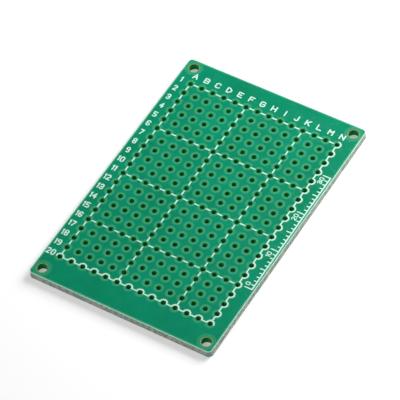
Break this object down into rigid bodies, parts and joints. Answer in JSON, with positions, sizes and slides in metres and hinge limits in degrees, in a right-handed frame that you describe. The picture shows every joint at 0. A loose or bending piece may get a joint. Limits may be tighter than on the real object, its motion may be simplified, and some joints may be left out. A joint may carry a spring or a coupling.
{
  "type": "prototype board",
  "caption": "Bare single-sided prototype circuit board with a grid of drilled lead holes, tinned solder pads underneath, corner mounting holes and a printed white grid.",
  "frame": {"origin": "middle of the board's footprint, on the plane that its solder pads rest on", "axes": "+X across the columns, +Y along the columns towards the first row, +Z out of the component side"},
  "size_m": [0.04, 0.06, 0.0016],
  "materials": {
    "glass_epoxy": "pale glass-epoxy laminate, matt at its cut edges",
    "green_mask": "glossy green solder mask",
    "white_ink": "satin white printing ink",
    "tinned_copper": "bright hot-dipped tin"
  },
  "bodies": {
    "root": {"laminate": "glass_epoxy", "component_side_mask": "green_mask", "solder_side_mask": "green_mask", "printed_grid": "white_ink", "pads_row_01": "tinned_copper", "pads_row_02": "tinned_copper", "pads_row_03": "tinned_copper", "pads_row_04": "tinned_copper", "pads_row_05": "tinned_copper", "pads_row_06": "tinned_copper", "pads_row_07": "tinned_copper", "pads_row_08": "tinned_copper", "pads_row_09": "tinned_copper", "pads_row_10": "tinned_copper", "pads_row_11": "tinned_copper", "pads_row_12": "tinned_copper", "pads_row_13": "tinned_copper", "pads_row_14": "tinned_copper", "pads_row_15": "tinned_copper", "pads_row_16": "tinned_copper", "pads_row_17": "tinned_copper", "pads_row_18": "tinned_copper", "pads_row_19": "tinned_copper", "pads_row_20": "tinned_copper"}
  },
  "joints": []
}
